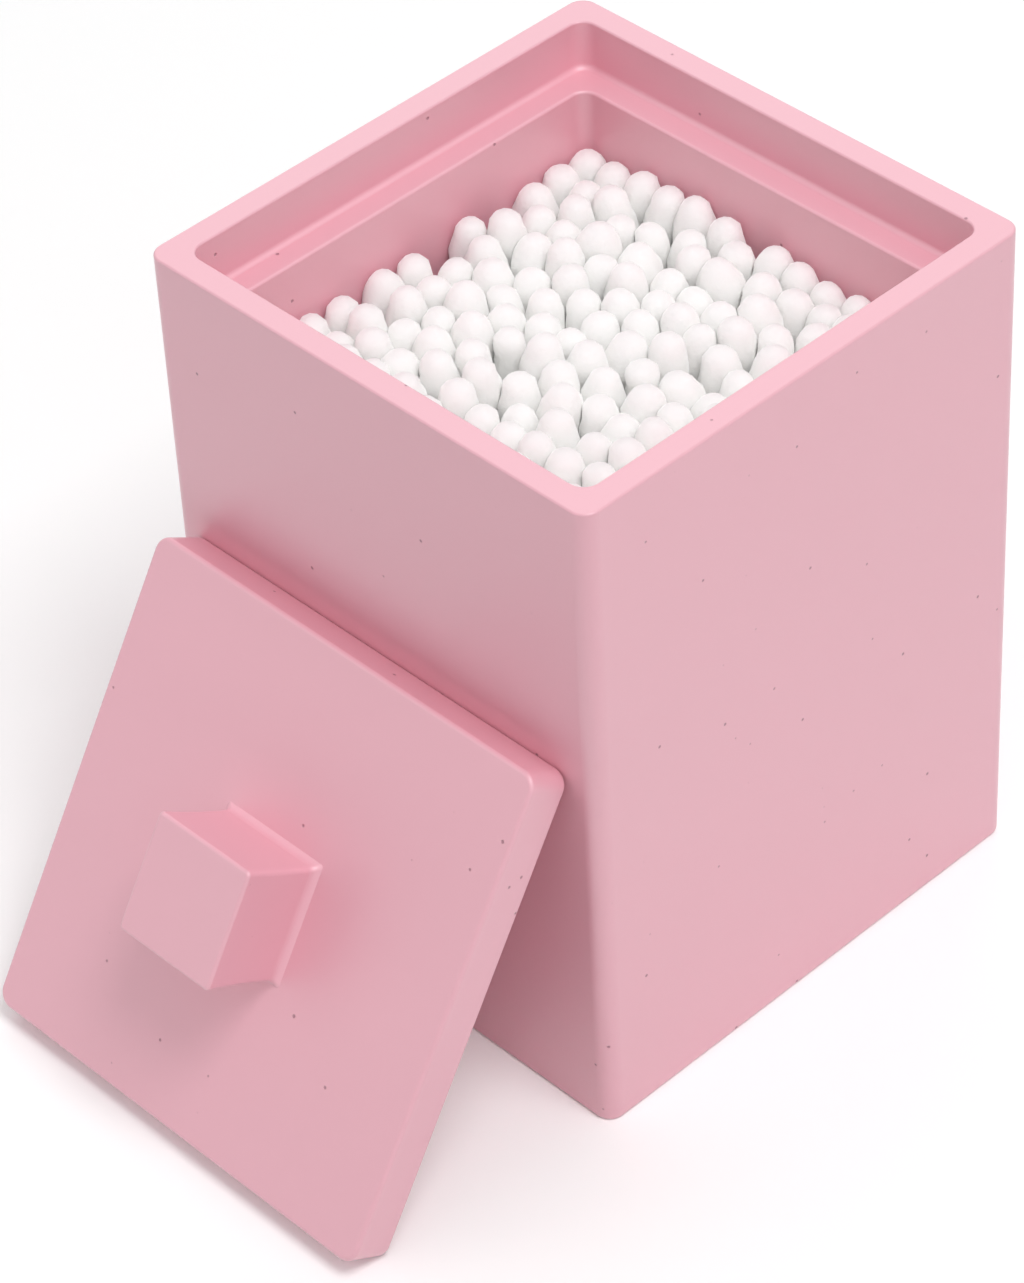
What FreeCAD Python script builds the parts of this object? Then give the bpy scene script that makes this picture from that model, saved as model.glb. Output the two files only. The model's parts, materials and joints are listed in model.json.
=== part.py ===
import FreeCAD, Part
import math
import os
import random

# A square cast canister full of cotton swabs. Its lid is off and leans on the front wall.
# Millimetres, +Z up. The origin is the middle of the canister's foot, on the table.

# canister, outside
WIDTH = 77.0
HEIGHT = 101.8
CORNER_R = 2.4
FOOT_EDGE_R = 0.6
RIM_EDGE_R = 0.3

# canister, inside: the seat that the lid drops into, the ledge it rests on, and the well
RIM_WALL = 3.75
SEAT_DEPTH = 7.3
SEAT_CORNER_R = 2.3
LEDGE_WIDTH = 4.0
LEDGE_COVE_R = 0.8
LEDGE_EDGE_R = 0.4
WELL_CORNER_R = 2.0
FLOOR_THICKNESS = 10.0
FLOOR_COVE_R = 1.5

# lid plate and how it leans: the angle from the table, and the space left at the wall
LID_SIDE = 69.0
LID_THICKNESS = 6.7
LID_CORNER_R = 2.3
LID_EDGE_R = 0.6
LEAN_ANGLE = 58.5
LEAN_SHIFT_X = -0.5
LEAN_WALL_GAP = 0.05

# knob: half widths at its foot, its waist and its front, and the spigot glued into the plate
KNOB_HEIGHT = 13.1
KNOB_FOOT = 8.85
KNOB_WAIST = 8.15
KNOB_WAIST_HEIGHT = 1.4
KNOB_FRONT = 8.45
KNOB_HOLLOW = 0.1
KNOB_CORNER_R = 0.7
KNOB_FRONT_R = 0.5
SPIGOT_R = 3.5
SPIGOT_LENGTH = 3.6
GLUE_GAP = 0.05

# one swab: a rolled paper stick with a cotton bud wound on each end
SWAB_LENGTH = 76.0
STICK_R = 1.25
STICK_INSET = 2.4
BUD_LENGTH = 14.5
BUD_R = 2.35
BUD_TIP_HEIGHT = 3.0
BUD_NECK_R = 1.6

# how the swabs stand in the well
SWAB_COUNT = 147
SWAB_ROWS = 12
SWAB_GAP = 0.09
LOOSE_GAP = 0.5
WALL_GAP = 0.15
FLOOR_GAP = 0.1
LIFT_MIN = 0.4
LIFT_MAX = 2.6
LEAN_AT_FIRST = 4.0
LEAN_MAX = 8.0
LAYOUT_SEED = 3
PLACES_TRIED = 40
STICK_LEVELS = 8
NEIGHBOUR_REACH = 8.0
NEIGHBOUR_STEPS = 10
LAYOUT_STEPS = 3000
SETTLED = 0.02

# heads that stand at the back wall, as (x, height of the tip above the table)
BACK_WALL_HEADS = [
    (-28.2, 86.8), (-23.3, 87.0), (-18.4, 87.9), (-13.2, 88.2), (-8.0, 88.7), (-2.6, 88.4),
    (5.6, 87.9), (10.5, 87.2), (15.4, 86.7), (20.3, 87.0), (25.2, 87.4),
]
# heads that stand at the left wall, as (y, height of the tip above the table)
LEFT_WALL_HEADS = [
    (23.3, 86.5), (18.4, 86.7), (6.8, 87.4), (-3.4, 87.0), (-8.3, 87.4), (-16.2, 86.9),
    (-21.5, 87.2), (-26.6, 86.8),
]
# places where no head stands, as (x, y, radius): three at the left wall, then from back to front
OPEN_PLACES = [
    (-28.3, 12.6, 2.4), (-28.3, 1.6, 2.4), (-28.3, -12.3, 1.5),
    (-14.3, 24.2, 1.4), (15.0, 19.7, 1.4), (6.2, 18.8, 1.8), (17.0, 12.0, 1.1),
    (6.3, 7.9, 1.1), (-18.7, 6.5, 1.4), (14.1, 5.4, 1.1), (1.2, 3.5, 1.1), (-6.0, 3.0, 1.1),
    (10.2, -4.8, 1.2), (-25.2, -7.4, 1.2), (-3.6, -9.2, 1.1), (-12.1, -10.6, 1.2),
    (3.1, -11.9, 1.1), (12.2, -12.1, 1.8), (-0.3, -15.5, 1.3), (-7.5, -17.2, 1.1),
]
# swabs that stand straight, so that each can be drawn out alone, as (x, y)
LOOSE_SWABS = [(8.6, 1.6), (-9.0, -6.6)]

SEAT_SIDE = WIDTH - 2 * RIM_WALL
WELL_SIDE = SEAT_SIDE - 2 * LEDGE_WIDTH
LEDGE_HEIGHT = HEIGHT - SEAT_DEPTH
REACH = WELL_SIDE / 2 - BUD_R - WALL_GAP
FOOT_LEVEL = FLOOR_THICKNESS + FLOOR_GAP
UP = FreeCAD.Vector(0, 0, 1)


def block(side_x, side_y, low, high, corner_r):
    """An upright square block about the Z axis with rounded corners in plan."""
    corner = FreeCAD.Vector(-side_x / 2, -side_y / 2, low)
    box = Part.makeBox(side_x, side_y, high - low, corner)
    upright = [e for e in box.Edges if abs(e.tangentAt(e.FirstParameter).z) > 0.9]
    return box.makeFillet(corner_r, upright)


def edges_on_level(shape, level, inside, outside=1000.0):
    """Edges that lie flat at a level, further from the Z axis than inside and nearer than outside."""
    found = []
    for edge in shape.Edges:
        box = edge.BoundBox
        flat = abs(box.ZMin - level) < 0.001 and abs(box.ZMax - level) < 0.001
        reach = max(abs(box.XMin), abs(box.XMax), abs(box.YMin), abs(box.YMax))
        if flat and inside < reach < outside:
            found.append(edge)
    return found


def canister_body():
    """The canister: one casting with a thick floor, a well, a ledge and the lid's seat."""
    body = block(WIDTH, WIDTH, 0, HEIGHT, CORNER_R)
    well = block(WELL_SIDE, WELL_SIDE, FLOOR_THICKNESS, HEIGHT, WELL_CORNER_R)
    seat = block(SEAT_SIDE, SEAT_SIDE, LEDGE_HEIGHT, HEIGHT + 1, SEAT_CORNER_R)
    body = body.cut(well).cut(seat)
    between = (WELL_SIDE + SEAT_SIDE) / 4
    body = body.makeFillet(LEDGE_COVE_R, edges_on_level(body, LEDGE_HEIGHT, between))
    body = body.makeFillet(LEDGE_EDGE_R, edges_on_level(body, LEDGE_HEIGHT, 0, WELL_SIDE / 2 + 0.1))
    body = body.makeFillet(FLOOR_COVE_R, edges_on_level(body, FLOOR_THICKNESS, 0))
    body = body.makeFillet(RIM_EDGE_R, edges_on_level(body, HEIGHT, 0))
    return body.makeFillet(FOOT_EDGE_R, edges_on_level(body, 0, 0))


def leaning(shape):
    """Moves a piece from the lid's own frame, flat with its back at z 0, to where it leans."""
    tilt = math.radians(LEAN_ANGLE)
    half = LID_SIDE / 2 - LID_EDGE_R
    top_y = half * math.cos(tilt) - LID_EDGE_R * math.sin(tilt) + LID_EDGE_R
    low_z = -half * math.sin(tilt) + LID_EDGE_R * math.cos(tilt) - LID_EDGE_R
    place = FreeCAD.Vector(LEAN_SHIFT_X, -WIDTH / 2 - LEAN_WALL_GAP - top_y, -low_z)
    turn = FreeCAD.Rotation(FreeCAD.Vector(1, 0, 0), LEAN_ANGLE)
    moved = shape.copy()
    moved.Placement = FreeCAD.Placement(place, turn).multiply(shape.Placement)
    return moved


def lid_plate():
    """The lid's square plate, with a blind socket for the knob's spigot."""
    plate = block(LID_SIDE, LID_SIDE, 0, LID_THICKNESS, LID_CORNER_R)
    plate = plate.makeFillet(LID_EDGE_R, edges_on_level(plate, 0, 0))
    plate = plate.makeFillet(LID_EDGE_R, edges_on_level(plate, LID_THICKNESS, 0))
    depth = SPIGOT_LENGTH + GLUE_GAP
    mouth = FreeCAD.Vector(0, 0, LID_THICKNESS - depth)
    return plate.cut(Part.makeCylinder(SPIGOT_R + GLUE_GAP, depth, mouth))


def knob_side_profile():
    """Half of the knob's outline in the XZ plane: a cove at the foot, then a hollow side."""
    foot = FreeCAD.Vector(KNOB_FOOT, 0, 0)
    cove = FreeCAD.Vector((KNOB_FOOT + KNOB_WAIST) / 2 - KNOB_HOLLOW, 0, KNOB_WAIST_HEIGHT * 0.4)
    waist = FreeCAD.Vector(KNOB_WAIST, 0, KNOB_WAIST_HEIGHT)
    side = FreeCAD.Vector((KNOB_WAIST + KNOB_FRONT) / 2 - KNOB_HOLLOW, 0, KNOB_HEIGHT / 2)
    front = FreeCAD.Vector(KNOB_FRONT, 0, KNOB_HEIGHT)
    return [Part.Arc(foot, cove, waist).toShape(), Part.Arc(waist, side, front).toShape()]


def knob_prism():
    """The knob's outline carried straight along Y."""
    right = knob_side_profile()
    left = [e.mirror(FreeCAD.Vector(0, 0, 0), FreeCAD.Vector(1, 0, 0)) for e in right]
    foot = Part.makeLine(FreeCAD.Vector(-KNOB_FOOT, 0, 0), FreeCAD.Vector(KNOB_FOOT, 0, 0))
    front = Part.makeLine(
        FreeCAD.Vector(-KNOB_FRONT, 0, KNOB_HEIGHT), FreeCAD.Vector(KNOB_FRONT, 0, KNOB_HEIGHT)
    )
    outline = Part.Wire(Part.__sortEdges__(right + left + [foot, front]))
    prism = Part.Face(outline).extrude(FreeCAD.Vector(0, 4 * KNOB_FOOT, 0))
    prism.translate(FreeCAD.Vector(0, -2 * KNOB_FOOT, 0))
    return prism


def lid_knob():
    """The square knob: two crossed prisms, rounded, with the spigot cast on its foot."""
    across = knob_prism()
    along = knob_prism()
    along.rotate(FreeCAD.Vector(0, 0, 0), UP, 90)
    knob = across.common(along)
    upright = [e for e in knob.Edges if abs(e.BoundBox.ZMax - e.BoundBox.ZMin) > 0.5]
    knob = knob.makeFillet(KNOB_CORNER_R, upright)
    knob = knob.makeFillet(KNOB_FRONT_R, edges_on_level(knob, KNOB_HEIGHT, 0))
    spigot = Part.makeCylinder(SPIGOT_R, SPIGOT_LENGTH, FreeCAD.Vector(0, 0, -SPIGOT_LENGTH))
    knob = knob.fuse(spigot).removeSplitter()
    knob.translate(FreeCAD.Vector(0, 0, LID_THICKNESS))
    return knob.Solids[0]


def cotton_bud():
    """A bud about the Z axis, its neck at z 0: an egg of two half ellipses, bored for the stick."""
    belly_height = BUD_LENGTH - BUD_TIP_HEIGHT
    flank_height = belly_height / math.sqrt(1 - (BUD_NECK_R / BUD_R) ** 2)
    belly = FreeCAD.Vector(0, 0, belly_height)
    side = FreeCAD.Vector(BUD_R, 0, belly_height)
    tip = FreeCAD.Vector(0, 0, BUD_LENGTH)
    low = FreeCAD.Vector(0, 0, belly_height - flank_height)
    cap = Part.Ellipse(tip, side, belly).toShape(0, math.pi / 2)
    neck_angle = math.asin(BUD_NECK_R / BUD_R)
    flank = Part.Ellipse(low, side, belly).toShape(neck_angle, math.pi / 2)
    bore_end = FreeCAD.Vector(0, 0, BUD_LENGTH - STICK_INSET)
    corners = [
        FreeCAD.Vector(BUD_NECK_R, 0, 0),
        FreeCAD.Vector(STICK_R, 0, 0),
        FreeCAD.Vector(STICK_R, 0, bore_end.z),
        bore_end,
        tip,
    ]
    straight = [Part.makeLine(a, b) for a, b in zip(corners, corners[1:])]
    outline = Part.Wire(Part.__sortEdges__([cap, flank] + straight))
    return Part.Face(outline).revolve(FreeCAD.Vector(0, 0, 0), UP, 360)


class Swab:
    """One swab in the well: where its lower and upper tips are, and what is held still."""

    def __init__(self, x, y, lift, held=False, loose=False):
        self.foot = [x, y]
        self.head = [x, y]
        self.lift = lift
        self.held = held
        self.loose = loose

    def at(self, height):
        """The share of the way up that a height is, and the axis's place there."""
        share = (height - FOOT_LEVEL - self.lift) / SWAB_LENGTH
        x = self.foot[0] + (self.head[0] - self.foot[0]) * share
        y = self.foot[1] + (self.head[1] - self.foot[1]) * share
        return share, x, y

    def give(self, share):
        """How much the head and the foot move for a push at that share of the way up."""
        if self.loose:
            return 1.0, 1.0
        if self.held:
            return 0.0, 1 - share
        return share, 1 - share

    def move(self, head_x, head_y, foot_x, foot_y):
        """Moves the two tips, and keeps them within reach of the well's walls."""
        self.head = [inside(self.head[0] + head_x), inside(self.head[1] + head_y)]
        self.foot = [inside(self.foot[0] + foot_x), inside(self.foot[1] + foot_y)]

    def straighten(self):
        """Draws the tips together where the swab leans too far."""
        lean_x = self.head[0] - self.foot[0]
        lean_y = self.head[1] - self.foot[1]
        lean = math.hypot(lean_x, lean_y)
        if lean > LEAN_MAX:
            back = (lean - LEAN_MAX) / lean
            head = 0.0 if self.held else -back / 2
            foot = back + head
            self.move(lean_x * head, lean_y * head, lean_x * foot, lean_y * foot)

    def ends(self):
        """The swab's lower tip and its direction, at its true length."""
        lean_x = self.head[0] - self.foot[0]
        lean_y = self.head[1] - self.foot[1]
        rise = math.sqrt(SWAB_LENGTH ** 2 - lean_x ** 2 - lean_y ** 2)
        foot = FreeCAD.Vector(self.foot[0], self.foot[1], FOOT_LEVEL + self.lift)
        return foot, FreeCAD.Vector(lean_x, lean_y, rise) / SWAB_LENGTH


def inside(value):
    """Keeps a swab's axis within reach of the well's walls."""
    return max(-REACH, min(REACH, value))


def levels():
    """Heights at which swabs are kept apart, each with the swab's radius there."""
    belly = FOOT_LEVEL + BUD_TIP_HEIGHT
    neck = FOOT_LEVEL + BUD_LENGTH + LIFT_MAX
    top_neck = FOOT_LEVEL + SWAB_LENGTH - BUD_LENGTH
    top_belly = FOOT_LEVEL + SWAB_LENGTH - BUD_TIP_HEIGHT
    found = [(belly, BUD_R), ((belly + neck) / 2, BUD_R), (neck, BUD_NECK_R)]
    for step in range(1, STICK_LEVELS):
        found.append((neck + (top_neck - neck) * step / STICK_LEVELS, STICK_R))
    found.append((top_neck, BUD_NECK_R))
    found.append(((top_neck + top_belly) / 2, BUD_R))
    found.append((top_belly, BUD_R))
    found.append((top_belly + LIFT_MAX, BUD_R))
    return found


def scatter(dice):
    """The swabs before they are pushed apart: the loose ones, those at two walls, and the rest."""
    swabs = [Swab(x, y, 1.0, loose=True) for x, y in LOOSE_SWABS]
    for x, tip in BACK_WALL_HEADS:
        swabs.append(Swab(x, REACH, tip - SWAB_LENGTH - FOOT_LEVEL, held=True))
    for y, tip in LEFT_WALL_HEADS:
        swabs.append(Swab(-REACH, y, tip - SWAB_LENGTH - FOOT_LEVEL, held=True))
    while len(swabs) < SWAB_COUNT:
        places = [
            (dice.uniform(-REACH, REACH), dice.uniform(-REACH, REACH)) for _ in range(PLACES_TRIED)
        ]
        room = [
            min(
                min(math.hypot(x - s.head[0], y - s.head[1]) for s in swabs),
                min(math.hypot(x - px, y - py) - r + BUD_R for px, py, r in OPEN_PLACES),
            )
            for x, y in places
        ]
        x, y = places[room.index(max(room))]
        swabs.append(Swab(x, y, dice.uniform(LIFT_MIN, LIFT_MAX)))
    for swab in swabs[len(LOOSE_SWABS):]:
        angle = dice.uniform(0, 2 * math.pi)
        lean = LEAN_AT_FIRST * math.sqrt(dice.random())
        swab.foot[0] = inside(swab.foot[0] + lean * math.cos(angle))
        swab.foot[1] = inside(swab.foot[1] + lean * math.sin(angle))
    return swabs


def part_pair(first, second, height, radius):
    """Pushes two swabs apart at one height; returns how far they were too close."""
    share_a, ax, ay = first.at(height)
    share_b, bx, by = second.at(height)
    need = 2 * radius + SWAB_GAP
    if first.loose or second.loose:
        need = radius + BUD_R + LOOSE_GAP
    gap = math.hypot(bx - ax, by - ay)
    if gap >= need:
        return 0.0
    head_a, foot_a = first.give(share_a)
    head_b, foot_b = second.give(share_b)
    moved = head_a * share_a + foot_a * (1 - share_a) + head_b * share_b + foot_b * (1 - share_b)
    if moved > 0.001:
        dx = (bx - ax) / gap * (need - gap) / moved
        dy = (by - ay) / gap * (need - gap) / moved
        first.move(-dx * head_a, -dy * head_a, -dx * foot_a, -dy * foot_a)
        second.move(dx * head_b, dy * head_b, dx * foot_b, dy * foot_b)
    return need - gap


def keep_open(swab):
    """Pushes a swab's head out of the places that stay open."""
    for x, y, radius in OPEN_PLACES:
        gap = math.hypot(swab.head[0] - x, swab.head[1] - y)
        short = radius + BUD_R - gap
        if short > 0:
            dx = (swab.head[0] - x) / gap * short / 2
            dy = (swab.head[1] - y) / gap * short / 2
            swab.move(dx, dy, 0, 0)


def settle(swabs):
    """Pushes neighbouring swabs apart at every level until none touch."""
    worst = 0.0
    heights = levels()
    for step in range(LAYOUT_STEPS):
        if step % NEIGHBOUR_STEPS == 0:
            near = [
                (a, b)
                for i, a in enumerate(swabs)
                for b in swabs[i + 1:]
                if min(abs(a.head[0] - b.head[0]), abs(a.foot[0] - b.foot[0])) < NEIGHBOUR_REACH
                and min(abs(a.head[1] - b.head[1]), abs(a.foot[1] - b.foot[1])) < NEIGHBOUR_REACH
            ]
        worst = 0.0
        for a, b in near:
            for height, radius in heights:
                worst = max(worst, part_pair(a, b, height, radius))
        for swab in swabs:
            swab.straighten()
            if not (swab.held or swab.loose):
                keep_open(swab)
        if worst < SETTLED:
            break
    print(f"swabs settled in {step + 1} steps, closest pair {SWAB_GAP - worst:.3f} mm apart")
    return swabs


def stick_of(swab):
    """The swab's stick where it stands."""
    foot, along = swab.ends()
    return Part.makeCylinder(
        STICK_R, SWAB_LENGTH - 2 * STICK_INSET, foot + along * STICK_INSET, along
    )


def buds_of(swab, bud):
    """The swab's lower and upper buds where they stand."""
    foot, along = swab.ends()
    placed = []
    for neck, direction in (
        (foot + along * BUD_LENGTH, along * -1),
        (foot + along * (SWAB_LENGTH - BUD_LENGTH), along),
    ):
        copy = bud.copy()
        copy.Placement = FreeCAD.Placement(neck, FreeCAD.Rotation(UP, direction))
        placed.append(copy)
    return placed


def save(name, solids):
    """Writes one node: a solid, or a group of like solids."""
    shape = solids[0] if len(solids) == 1 else Part.makeCompound(solids)
    shape.exportStep(f"parts/{name}.step")
    print(f"{name}: {len(solids)} solid(s), {shape.Volume / 1000:.3f} cm3, valid {shape.isValid()}")


def save_swabs():
    """Writes the handful of swabs row by row, from the front wall to the back, and the loose ones."""
    swabs = settle(scatter(random.Random(LAYOUT_SEED)))
    bud = cotton_bud()
    loose = [s for s in swabs if s.loose]
    handful = sorted((s for s in swabs if not s.loose), key=lambda s: s.head[1])
    for number in range(SWAB_ROWS):
        first = number * len(handful) // SWAB_ROWS
        last = (number + 1) * len(handful) // SWAB_ROWS
        row = handful[first:last]
        save(f"swab_sticks_row_{number + 1:02d}", [stick_of(s) for s in row])
        save(f"cotton_buds_row_{number + 1:02d}", [b for s in row for b in buds_of(s, bud)])
    for number, swab in enumerate(loose, 1):
        save(f"loose_swab_{number}_stick", [stick_of(swab)])
        save(f"loose_swab_{number}_buds", buds_of(swab, bud))


os.makedirs("parts", exist_ok=True)
save("canister_body", [canister_body()])
save("lid_plate", [leaning(lid_plate())])
save("lid_knob", [leaning(lid_knob())])
save_swabs()
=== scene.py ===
import json
from math import radians

import bpy
import numpy as np
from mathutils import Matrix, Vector

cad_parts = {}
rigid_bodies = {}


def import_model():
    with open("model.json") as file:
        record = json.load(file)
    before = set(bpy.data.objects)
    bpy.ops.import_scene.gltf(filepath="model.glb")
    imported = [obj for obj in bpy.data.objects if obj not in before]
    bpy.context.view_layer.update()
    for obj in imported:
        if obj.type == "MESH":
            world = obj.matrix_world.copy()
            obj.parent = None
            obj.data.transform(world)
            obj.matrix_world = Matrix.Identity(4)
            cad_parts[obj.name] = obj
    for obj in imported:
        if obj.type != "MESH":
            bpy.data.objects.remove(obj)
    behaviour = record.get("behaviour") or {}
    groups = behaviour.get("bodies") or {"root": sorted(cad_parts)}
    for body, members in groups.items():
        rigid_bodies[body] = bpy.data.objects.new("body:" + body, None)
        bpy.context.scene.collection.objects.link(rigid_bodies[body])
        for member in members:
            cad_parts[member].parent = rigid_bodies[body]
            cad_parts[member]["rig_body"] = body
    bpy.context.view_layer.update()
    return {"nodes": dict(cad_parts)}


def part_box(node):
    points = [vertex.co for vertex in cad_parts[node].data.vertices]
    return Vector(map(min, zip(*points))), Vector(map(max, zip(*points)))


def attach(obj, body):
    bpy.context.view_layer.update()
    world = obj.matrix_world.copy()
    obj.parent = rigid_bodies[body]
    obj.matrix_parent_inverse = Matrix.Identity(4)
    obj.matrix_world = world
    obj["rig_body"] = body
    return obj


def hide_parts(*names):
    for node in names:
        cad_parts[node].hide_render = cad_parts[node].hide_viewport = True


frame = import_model()


# Camera: a long lens that looks down at the canister's front right corner from 41 degrees above the
# table, 46 cm up, and leans 3 degrees to the left. The frame is 1024 x 1283.
CAMERA_PLACE = (0.34739, -0.33262, 0.45524)
CAMERA_TURN = (48.907, 2.463, 45.485)
LENS_MM = 134.7

camera_data = bpy.data.cameras.new("camera")
camera_data.sensor_width = 36.0
camera_data.lens = LENS_MM
camera = bpy.data.objects.new("camera", camera_data)
camera.location = CAMERA_PLACE
camera.rotation_euler = [radians(a) for a in CAMERA_TURN]
bpy.context.scene.collection.objects.link(camera)
bpy.context.scene.camera = camera


# Canister: a thick-walled square casting of resin, filled, sanded and sprayed a satin pink. The paint
# has a faint orange peel, and a few pinholes of the casting show through it as tiny pits with painted shade
# in them.
PAINT = (0.80, 0.40, 0.475)
# Painted shade: the colour that the pits are darkened to, in place of the shade inside each hollow.
PIT_SHADE_COLOUR = (0.42, 0.16, 0.21)
PAINT_ROUGHNESS = (0.44, 0.54)
PEEL_HEIGHT = 0.00002
PIT_DEPTH = 0.00015
PIT_RADIUS = 0.0003
PIT_SPACING = 0.0045
PIT_SHARE = 0.6
PIT_CORE = 0.4
CLOUD_SCALE = 22.0
PEEL_SCALE = 1500.0
PAINT_SHADES = (0.98, 1.02)
COAT_WEIGHT = 0.8
COAT_ROUGHNESS = 0.35


def add(tree, kind, inputs=None, **settings):
    """Adds a shader node. Settings are its properties, and inputs are values or sockets joined to it."""
    made = tree.nodes.new(kind)
    for name, value in settings.items():
        setattr(made, name, value)
    for name, value in (inputs or {}).items():
        if isinstance(value, bpy.types.NodeSocket):
            tree.links.new(value, made.inputs[name])
        else:
            made.inputs[name].default_value = value
    return made


def new_material(name):
    """An empty material, its node tree and its shader."""
    material = bpy.data.materials.new(name)
    material.use_nodes = True
    return material, material.node_tree, material.node_tree.nodes["Principled BSDF"]


def painted_resin(name, colour, offset):
    """Satin paint on cast resin. Pits are where a cell's nearest point is under PIT_RADIUS away, in the
    cells whose own random number is under PIT_SHARE; their painted shade is darkest within PIT_CORE of
    that."""
    material, tree, shader = new_material(name)
    place = add(tree, "ShaderNodeTexCoord").outputs["Object"]
    place = add(tree, "ShaderNodeMapping", {"Vector": place, "Location": offset}).outputs[0]
    cloud = add(tree, "ShaderNodeTexNoise", {"Vector": place, "Scale": CLOUD_SCALE, "Detail": 3.0})
    peel = add(tree, "ShaderNodeTexNoise", {"Vector": place, "Scale": PEEL_SCALE, "Detail": 2.0})
    cells = add(tree, "ShaderNodeTexVoronoi", {"Vector": place, "Scale": 1 / PIT_SPACING})
    near = add(
        tree, "ShaderNodeMapRange",
        {
            "Value": cells.outputs["Distance"], "To Min": 1.0, "To Max": 0.0,
            "From Min": PIT_CORE * PIT_RADIUS / PIT_SPACING, "From Max": PIT_RADIUS / PIT_SPACING,
        },
        interpolation_type="SMOOTHSTEP",
    )
    dice = add(tree, "ShaderNodeSeparateColor", {"Color": cells.outputs["Color"]})
    chosen = add(tree, "ShaderNodeMath", {0: dice.outputs[0], 1: PIT_SHARE}, operation="LESS_THAN")
    pit = add(
        tree, "ShaderNodeMath", {0: near.outputs[0], 1: chosen.outputs[0]}, operation="MULTIPLY"
    ).outputs[0]
    deep, pale = ([min(1.0, c * shade) for c in colour] for shade in PAINT_SHADES)
    paint = add(
        tree, "ShaderNodeMix",
        {"Factor": cloud.outputs["Fac"], 6: (*deep, 1), 7: (*pale, 1)}, data_type="RGBA",
    )
    # Painted shade: the paint is darkened towards the pit colour inside each pit, where its hollow would be
    # shaded.
    pit_shaded = add(
        tree, "ShaderNodeMix", {"Factor": pit, 6: paint.outputs[2], 7: (*PIT_SHADE_COLOUR, 1)},
        data_type="RGBA",
    )
    tree.links.new(pit_shaded.outputs[2], shader.inputs["Base Color"])
    gloss = add(
        tree, "ShaderNodeMapRange",
        {"Value": cloud.outputs["Fac"], "To Min": PAINT_ROUGHNESS[0], "To Max": PAINT_ROUGHNESS[1]},
    )
    tree.links.new(gloss.outputs[0], shader.inputs["Roughness"])
    skin = add(
        tree, "ShaderNodeBump",
        {"Height": peel.outputs["Fac"], "Distance": PEEL_HEIGHT, "Strength": 0.5},
    )
    hole = add(
        tree, "ShaderNodeBump",
        {"Height": pit, "Distance": PIT_DEPTH, "Strength": 1.0, "Normal": skin.outputs[0]},
        invert=True,
    )
    tree.links.new(hole.outputs[0], shader.inputs["Normal"])
    shader.inputs["Specular IOR Level"].default_value = 1.0
    shader.inputs["Coat Weight"].default_value = COAT_WEIGHT
    shader.inputs["Coat Roughness"].default_value = COAT_ROUGHNESS
    return material


def dress(node, material):
    """Gives a CAD node its finish."""
    for material_slot in frame["nodes"][node].material_slots:
        material_slot.material = material


dress("canister_body", painted_resin("canister_paint", PAINT, (0.0, 0.0, 0.0)))


# Lid plate: a flat square casting with softly rounded edges, painted as the canister is. It stands on
# its lower edge on the table, and its upper back edge leans on the canister's front wall.
dress("lid_plate", painted_resin("lid_paint", PAINT, (0.31, 0.17, 0.05)))


# Knob: a small square block of the same resin, cast with a slight waist above its foot. It is glued in the
# middle of the lid's face and painted with it.
dress("lid_knob", painted_resin("knob_paint", PAINT, (0.07, 0.43, 0.21)))


# Sticks: white paper rolled tight into a rod, a warm off-white with long faint fibres. They show only
# in the gaps between the heads, and where swabs are drawn out.
STICK_COLOUR = (0.90, 0.86, 0.78)
STICK_SHADES = (0.9, 1.08)
FIBRE_SCALE = 5000.0
FIBRE_STRETCH = 15
FIBRE_HEIGHT = 0.00003
STICKS = sorted(n for n in frame["nodes"] if n.startswith("swab_sticks") or n.endswith("_stick"))


def rolled_paper():
    """Paper with fibres drawn out along Z, FIBRE_STRETCH times as long as they are wide."""
    material, tree, shader = new_material("rolled_paper")
    place = add(tree, "ShaderNodeTexCoord").outputs["Object"]
    drawn = add(tree, "ShaderNodeMapping", {"Vector": place, "Scale": (1.0, 1.0, 1 / FIBRE_STRETCH)})
    fibre = add(
        tree, "ShaderNodeTexNoise", {"Vector": drawn.outputs[0], "Scale": FIBRE_SCALE, "Detail": 3.0}
    )
    tone = add(
        tree, "ShaderNodeMix",
        {
            "Factor": fibre.outputs["Fac"], 6: (*[c * STICK_SHADES[0] for c in STICK_COLOUR], 1),
            7: (*[c * STICK_SHADES[1] for c in STICK_COLOUR], 1),
        },
        data_type="RGBA",
    )
    tree.links.new(tone.outputs[2], shader.inputs["Base Color"])
    rough = add(tree, "ShaderNodeBump", {"Height": fibre.outputs["Fac"], "Distance": FIBRE_HEIGHT})
    tree.links.new(rough.outputs[0], shader.inputs["Normal"])
    shader.inputs["Roughness"].default_value = 0.8
    return material


paper = rolled_paper()
for stick_node in STICKS:
    dress(stick_node, paper)


# Cotton buds: white cotton wound onto both ends of each stick, a round cap on a fuller body. No two are
# quite alike, and where the crowded heads meet, the soft cotton is pressed flat.
COTTON = (0.985, 0.975, 0.945)
COTTON_SHADES = (0.985, 1.015)
TUFT_SCALE = 450.0
TUFT_HEIGHT = 0.0003
FUZZ_SCALE = 900.0
FUZZ_FLATNESS = 4.0
FUZZ_HEIGHT = 0.00008
LIT_DEPTH = 0.004
BUD_LENGTH = 0.0145
NECK_RADIUS = 0.0016
BELLY_DEPTH = 0.0050
SHOULDER_DEPTH = 0.0012
CAP_DEPTH = 0.0024
RING_DEPTHS = (0.0145, 0.0090, 0.0052, 0.0037, 0.0024, 0.0012, 0.0004)
CREASE_RING = 3
SEGMENTS = 10
STRETCH = (0.8, 1.1)
CAP_FULLNESS = (0.95, 1.05)
FULLNESS = (1.34, 1.58)
LOOSE_FULLNESS = (0.98, 1.03)
CAP_POWER = (2.0, 2.5)
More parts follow.
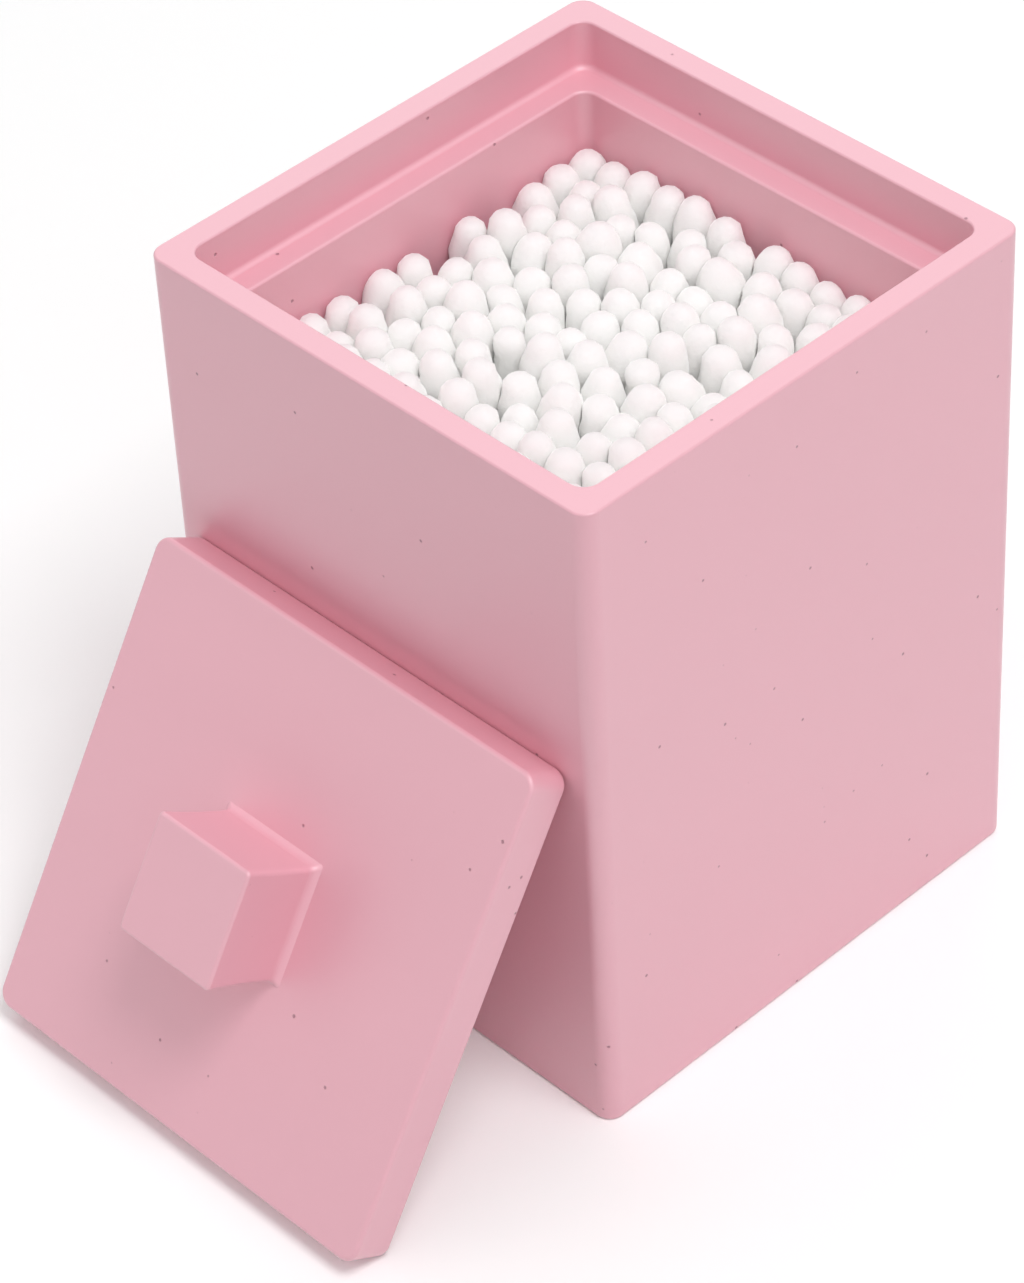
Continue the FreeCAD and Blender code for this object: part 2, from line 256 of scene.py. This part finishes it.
CREASE_DEPTH = 0.16
WINDING_DEPTH = (0.0, 0.04)
WINDING_TURNS = (3, 7)
OVAL = 0.05
BEND = 0.0006
PRESSED_GAP = 0.00002
PRESS_WITHIN = 4
PLANE_WITHIN = 5
NEAR_GAP = 0.0004
TILTS_ALONG = np.linspace(-0.3, 0.3, 7)
TILTS_ASIDE = np.linspace(-0.2, 0.2, 5)
PLANE_TILTS = np.stack(np.meshgrid(TILTS_ALONG, TILTS_ASIDE), -1).reshape(-1, 2)
PARTING_ROUNDS = 8
LOOSE_ROOM = 0.00025
WELL_HALF = 0.03072
WELL_CORNER = 0.00197
BUD_SEED = 11


def separate_solids(node):
    """The corners of each solid of a CAD node. Corners in one place are one point, and the lowest number
    of each triangle's points spreads until every solid has one number."""
    mesh = frame["nodes"][node].data
    corners = np.zeros(len(mesh.vertices) * 3)
    mesh.vertices.foreach_get("co", corners)
    triangles = np.zeros(len(mesh.loops), dtype=int)
    mesh.loops.foreach_get("vertex_index", triangles)
    points, same = np.unique(corners.reshape(-1, 3).round(7), axis=0, return_inverse=True)
    triangles = same.ravel()[triangles].reshape(-1, 3)
    label = np.arange(len(points))
    while True:
        spread = label.copy()
        np.minimum.at(spread, triangles.ravel(), np.repeat(label[triangles].min(1), 3))
        spread = spread[spread]
        if (spread == label).all():
            return [points[label == number] for number in np.unique(label)]
        label = spread


def stick_ends(node):
    """The middles of each stick's lower and upper end, from the corners below and above its middle."""
    ends = []
    for solid in separate_solids(node):
        upper = solid[:, 2] > solid[:, 2].mean()
        ends.append((solid[~upper].mean(0), solid[upper].mean(0)))
    return np.array(ends)


def square_to(direction):
    """Two unit vectors square to each direction and to each other."""
    side = np.cross(direction, (0.0, 1.0, 0.0))
    side /= np.linalg.norm(side, axis=1, keepdims=True)
    return side, np.cross(direction, side)


def ring_heights(stretch):
    """Heights of each bud's rings above its neck. The rings above the neck's lie deeper on some."""
    depth = np.array(RING_DEPTHS) * stretch[:, None]
    depth[:, 0] = BUD_LENGTH
    return BUD_LENGTH - depth


def ring_radii(height, body, cap, power, stretch):
    """Each bud's radius at each height, the greater of its body's and its cap's. The body's is
    R sqrt(1 - u^2), u being the distance from its belly over the half length on that side. The cap's is
    r (1 - u^p)^(1/p) above its widest place, and r below it."""
    depth = BUD_LENGTH - height
    belly, shoulder, widest = (d * stretch[:, None] for d in (BELLY_DEPTH, SHOULDER_DEPTH, CAP_DEPTH))
    flank = (BUD_LENGTH - belly) / np.sqrt(1 - (NECK_RADIUS / body) ** 2)
    half = np.where(depth > belly, flank, belly - shoulder)
    wide = body * np.sqrt(np.maximum(1 - ((depth - belly) / half) ** 2, 0))
    round_top = cap * (1 - np.maximum(1 - depth / widest, 0) ** power) ** (1 / power)
    return np.where(depth > belly, wide, np.maximum(wide, round_top))


def bud_surfaces(neck, direction, fullness, dice):
    """Closed buds on rings and segments. A ring's radius is multiplied by 1 + oval cos(2a) for its oval
    section and by 1 - depth (1 + cos(2a + turns z)) / 2 for the winding, and the axis bends sideways by
    bend z^2, where z runs from 0 at the neck to 1 at the tip."""
    count = len(neck)
    stretch = dice.uniform(*STRETCH, count)
    height = ring_heights(stretch)
    cap = BUD_RADIUS * dice.uniform(*CAP_FULLNESS, (count, 1))
    ring = ring_radii(
        height, BUD_RADIUS * fullness[:, None], cap, dice.uniform(*CAP_POWER, (count, 1)), stretch
    )
    ring[:, CREASE_RING] *= 1 - CREASE_DEPTH * dice.uniform(0, 1, count)
    angle = np.linspace(0, 2 * np.pi, SEGMENTS, endpoint=False)
    z = (height / BUD_LENGTH)[..., None]
    start = dice.uniform(0, 2 * np.pi, (2, count, 1, 1))
    turns = dice.uniform(*WINDING_TURNS, (count, 1, 1))
    oval = 1 + dice.uniform(0, OVAL, (count, 1, 1)) * np.cos(2 * angle + start[0])
    winding = dice.uniform(*WINDING_DEPTH, (count, 1, 1))
    winding = winding * (1 + np.cos(2 * angle + turns * z + start[1])) / 2
    side, other = square_to(direction)
    side, other, ahead = side[:, None, None], other[:, None, None], direction[:, None, None]
    out = np.cos(angle)[:, None] * side + np.sin(angle)[:, None] * other
    lean = dice.uniform(0, 2 * np.pi, (count, 1, 1, 1))
    bend = dice.uniform(0, BEND, (count, 1, 1, 1)) * (np.cos(lean) * side + np.sin(lean) * other)
    axis = neck[:, None, None] + height[..., None, None] * ahead + bend * z[..., None] ** 2
    reach = (ring[..., None] * oval * (1 - winding))[..., None]
    tip = neck + BUD_LENGTH * direction + bend[:, 0, 0]
    return axis + reach * out, axis[:, :, 0], ring, height, tip


def press(rings, axis, ring, height, neck, direction):
    """Presses each pair of buds flat where they meet. At each ring, the nearest point of the other bud's
    axis gives the direction and how much the two overlap, and the ring's points stop half way."""
    apart = np.linalg.norm(axis[:, None, -1] - axis[None, :, -1], axis=2)
    for first, second in zip(*np.nonzero((apart < PRESS_WITHIN * BUD_RADIUS) & (apart > 0))):
        along = np.clip((axis[first] - neck[second]) @ direction[second], 0, BUD_LENGTH)
        toward = neck[second] + along[:, None] * direction[second] - axis[first]
        distance = np.linalg.norm(toward, axis=1)
        overlap = ring[first] + np.interp(along, height[second], ring[second]) - distance
        toward /= distance[:, None]
        limit = np.where(overlap > 0, ring[first] - overlap / 2 - PRESSED_GAP, 1.0)
        reach = ((rings[first] - axis[first, :, None]) * toward[:, None]).sum(2)
        past = np.maximum(reach - limit[:, None], 0)
        rings[first] -= past[..., None] * toward[:, None]


def planes_between(rings, direction):
    """A plane between each two near buds: both buds' numbers, its normal, and its distance along that. The
    normal starts square to the buds and leans by each of PLANE_TILTS, and the one along which the two cross
    least is kept. The plane is half way between the last point of one and the first of the other."""
    points = rings.reshape(len(rings), -1, 3)
    middle = points.mean(1)
    near = np.linalg.norm(middle[:, None] - middle[None], axis=2) < PLANE_WITHIN * BUD_RADIUS
    planes = []
    for first, second in zip(*np.nonzero(np.triu(near, 1))):
        along = direction[first] + direction[second]
        along /= np.linalg.norm(along)
        apart = middle[second] - middle[first]
        apart -= (apart @ along) * along
        apart /= np.linalg.norm(apart)
        normals = apart + PLANE_TILTS @ np.stack([along, np.cross(along, apart)])
        normals /= np.linalg.norm(normals, axis=1, keepdims=True)
        last = (points[first] @ normals.T).max(0)
        nearest = (points[second] @ normals.T).min(0)
        best = np.argmin(last - nearest)
        if last[best] + NEAR_GAP > nearest[best]:
            planes.append((first, second, normals[best], (last[best] + nearest[best]) / 2))
    return planes


def part_buds(rings, planes):
    """Moves each bud's points square back to its own side of every plane, half PRESSED_GAP from it."""
    for first, second, normal, distance in planes:
        for bud, side in ((first, 1), (second, -1)):
            past = np.maximum(side * (rings[bud] @ normal - distance) + PRESSED_GAP / 2, 0)
            rings[bud] -= side * past[..., None] * normal


def part_from_loose(rings, loose, neck):
    """Leaves each loose swab an upright column, a little wider than its bud, to slide in. Its own buds
    stay inside the column and all the others outside."""
    own = rings[loose]
    away = own[..., :2] - neck[loose, None, None, :2]
    distance = np.linalg.norm(away, axis=-1, keepdims=True)
    own[..., :2] -= away / distance * np.maximum(distance - BUD_RADIUS - LOOSE_ROOM * 0.8, 0)
    others = rings[~loose]
    for place in neck[loose, :2]:
        away = others[..., :2] - place
        distance = np.linalg.norm(away, axis=-1, keepdims=True)
        others[..., :2] += away / distance * np.maximum(BUD_RADIUS + LOOSE_ROOM - distance, 0)
    rings[loose] = own
    rings[~loose] = others


def keep_in_well(rings):
    """Draws points in to the plan of the well, a square with round corners: what is outside the square
    between the corners' centres stops at the corner's radius from it."""
    between = WELL_HALF - WELL_CORNER
    core = np.clip(rings[..., :2], -between, between)
    out = rings[..., :2] - core
    distance = np.linalg.norm(out, axis=-1, keepdims=True)
    rings[..., :2] = core + out * WELL_CORNER / np.maximum(distance, WELL_CORNER)


def bud_faces(rings):
    """One bud's faces: bands of quads between the rings, and a fan of triangles at the neck and tip."""
    first = np.arange(SEGMENTS)
    after = (first + 1) % SEGMENTS
    quads = [
        np.stack([low + first, low + after, low + SEGMENTS + after, low + SEGMENTS + first], 1)
        for low in range(0, (rings - 1) * SEGMENTS, SEGMENTS)
    ]
    top = (rings - 1) * SEGMENTS
    neck, tip = rings * SEGMENTS, rings * SEGMENTS + 1
    fans = [
        np.stack([after, first, np.full(SEGMENTS, neck)], 1),
        np.stack([top + first, top + after, np.full(SEGMENTS, tip)], 1),
    ]
    return np.concatenate(quads), np.concatenate(fans)


def wound_cotton():
    """Cotton wool: fine fibres that lie round the bud, softly lit through."""
    material, tree, shader = new_material("cotton")
    place = add(tree, "ShaderNodeTexCoord").outputs["Object"]
    flat = add(tree, "ShaderNodeMapping", {"Vector": place, "Scale": (1.0, 1.0, FUZZ_FLATNESS)})
    fibre = add(tree, "ShaderNodeTexNoise", {"Vector": flat.outputs[0], "Scale": FUZZ_SCALE, "Detail": 5.0})
    tuft = add(tree, "ShaderNodeTexNoise", {"Vector": place, "Scale": TUFT_SCALE, "Detail": 2.0})
    tone = add(
        tree, "ShaderNodeMix",
        {
            "Factor": tuft.outputs["Fac"], 6: (*[c * COTTON_SHADES[0] for c in COTTON], 1),
            7: (*[min(1.0, c * COTTON_SHADES[1]) for c in COTTON], 1),
        },
        data_type="RGBA",
    )
    tree.links.new(tone.outputs[2], shader.inputs["Base Color"])
    lumps = add(
        tree, "ShaderNodeBump", {"Height": tuft.outputs["Fac"], "Distance": TUFT_HEIGHT, "Strength": 0.4}
    )
    fuzz = add(
        tree, "ShaderNodeBump",
        {"Height": fibre.outputs["Fac"], "Distance": FUZZ_HEIGHT, "Normal": lumps.outputs[0]},
    )
    tree.links.new(fuzz.outputs[0], shader.inputs["Normal"])
    shader.inputs["Roughness"].default_value = 0.95
    shader.inputs["Specular IOR Level"].default_value = 0.1
    shader.inputs["Sheen Weight"].default_value = 1.0
    shader.inputs["Sheen Roughness"].default_value = 0.6
    shader.inputs["Subsurface Weight"].default_value = 1.0
    shader.inputs["Subsurface Radius"].default_value = (1.0, 1.0, 1.0)
    shader.inputs["Subsurface Scale"].default_value = LIT_DEPTH
    return material


cotton = wound_cotton()
bud_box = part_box("loose_swab_1_buds")
stick_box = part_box("loose_swab_1_stick")
BUD_RADIUS = (bud_box[1].x - bud_box[0].x) / 2
INSET = stick_box[0].z - bud_box[0].z
bud_dice = np.random.default_rng(BUD_SEED)
node_ends = [stick_ends(node) for node in STICKS]
ends = np.concatenate(node_ends)
up = ends[:, 1] - ends[:, 0]
up /= np.linalg.norm(up, axis=1, keepdims=True)
direction = np.stack([-up, up], 1).reshape(-1, 3)
neck = ends.reshape(-1, 3) - direction * (BUD_LENGTH - INSET)
loose = np.concatenate([np.full(2 * len(e), len(e) == 1) for e in node_ends])
fullness = np.where(
    loose, bud_dice.uniform(*LOOSE_FULLNESS, len(neck)), bud_dice.uniform(*FULLNESS, len(neck))
)
rings, axis, ring, height, tip = bud_surfaces(neck, direction, fullness, bud_dice)
press(rings, axis, ring, height, neck, direction)
planes = planes_between(rings, direction)
for _ in range(PARTING_ROUNDS):
    part_buds(rings, planes)
    part_from_loose(rings, loose, neck)
    keep_in_well(rings)
bud_corners = np.concatenate([rings.reshape(len(neck), -1, 3), neck[:, None], tip[:, None]], axis=1)
quads, fans = bud_faces(ring.shape[1])
first_bud = 0
for stick_node, stick_places in zip(STICKS, node_ends):
    corners = bud_corners[first_bud:first_bud + 2 * len(stick_places)]
    first_bud += len(corners)
    step = (np.arange(len(corners)) * corners.shape[1])[:, None, None]
    faces = (quads + step).reshape(-1, 4).tolist() + (fans + step).reshape(-1, 3).tolist()
    node = stick_node.replace("swab_sticks", "cotton_buds").replace("_stick", "_buds")
    mesh = bpy.data.meshes.new(node.replace("buds", "heads"))
    mesh.from_pydata(corners.reshape(-1, 3), [], faces)
    mesh.shade_smooth()
    mesh.materials.append(cotton)
    heads = bpy.data.objects.new(mesh.name, mesh)
    bpy.context.scene.collection.objects.link(heads)
    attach(heads, frame["nodes"][node]["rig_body"])
    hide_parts(node)


# Floor and light: a white table that fades out to white in a pale room, under four large soft lamps: the
# main one overhead, one to the right, one to the left, and one behind on the left, whose sheen lies on
# what faces up. Each has its place, its width and its power in watts.
FLOOR_HALF = 0.9
FLOOR_COLOUR = (0.97, 0.97, 0.97)
FLOOR_LIFT = 0.06
FADE_START = 0.25
ROOM_LOW = 0.07
ROOM_HIGH = 0.70
ROOM_SEEN = 1.02
LIT_POINT = (0.0, 0.0, 0.06)
LAMPS = {
    "lamp_above": ((0.53, -0.05, 1.24), 0.5, 8.0),
    "lamp_right": ((1.2, -0.35, 0.75), 0.9, 1.8),
    "lamp_behind": ((-0.8, 0.75, 1.0), 0.9, 2.3),
    "lamp_left": ((-0.75, -0.85, 0.6), 0.7, 1.4),
}

floor_mesh = bpy.data.meshes.new("floor")
floor_mesh.from_pydata(
    [(x * FLOOR_HALF, y * FLOOR_HALF, 0.0) for x, y in ((-1, -1), (1, -1), (1, 1), (-1, 1))],
    [], [(0, 1, 2, 3)],
)
floor = bpy.data.objects.new("floor", floor_mesh)
bpy.context.scene.collection.objects.link(floor)
white, tree, shader = new_material("white_table")
shader.inputs["Base Color"].default_value = (*FLOOR_COLOUR, 1)
shader.inputs["Roughness"].default_value = 0.8
rays = add(tree, "ShaderNodeLightPath")
shader.inputs["Emission Color"].default_value = (1, 1, 1, 1)
place = add(tree, "ShaderNodeTexCoord").outputs["Object"]
reach = add(tree, "ShaderNodeVectorMath", {0: place}, operation="LENGTH").outputs["Value"]
fade = add(
    tree, "ShaderNodeMapRange",
    {"Value": reach, "From Min": FADE_START, "From Max": FLOOR_HALF, "To Min": FLOOR_LIFT, "To Max": 1.0},
    interpolation_type="SMOOTHSTEP",
)
lift = add(
    tree, "ShaderNodeMath", {0: rays.outputs["Is Camera Ray"], 1: fade.outputs[0]}, operation="MULTIPLY"
)
tree.links.new(lift.outputs[0], shader.inputs["Emission Strength"])
floor_mesh.materials.append(white)

world = bpy.data.worlds.new("room")
world.use_nodes = True
bpy.context.scene.world = world
tree = world.node_tree
sky = tree.nodes["Background"]
rays = add(tree, "ShaderNodeLightPath")
seen = add(
    tree, "ShaderNodeMath",
    {0: rays.outputs["Is Camera Ray"], 1: rays.outputs["Is Glossy Ray"]}, operation="MAXIMUM",
)
seen = add(
    tree, "ShaderNodeMath", {0: seen.outputs[0], 1: rays.outputs["Is Transmission Ray"]},
    operation="MAXIMUM",
)
way = add(tree, "ShaderNodeSeparateXYZ", {"Vector": add(tree, "ShaderNodeTexCoord").outputs["Generated"]})
room = add(
    tree, "ShaderNodeMapRange", {"Value": way.outputs["Z"], "To Min": ROOM_LOW, "To Max": ROOM_HIGH}
)
level = add(
    tree, "ShaderNodeMix", {"Factor": seen.outputs[0], 2: room.outputs[0], 3: ROOM_SEEN}, data_type="FLOAT"
)
tree.links.new(level.outputs[0], sky.inputs["Strength"])
sky.inputs["Color"].default_value = (1, 1, 1, 1)

for name, (place, size, power) in LAMPS.items():
    lamp_data = bpy.data.lights.new(name, "AREA")
    lamp_data.shape = "SQUARE"
    lamp_data.size = size
    lamp_data.energy = power
    lamp = bpy.data.objects.new(name, lamp_data)
    lamp.location = place
    lamp.rotation_euler = (Vector(place) - Vector(LIT_POINT)).to_track_quat("Z", "Y").to_euler()
    lamp.visible_camera = False
    bpy.context.scene.collection.objects.link(lamp)

bpy.context.scene.view_settings.view_transform = "Standard"
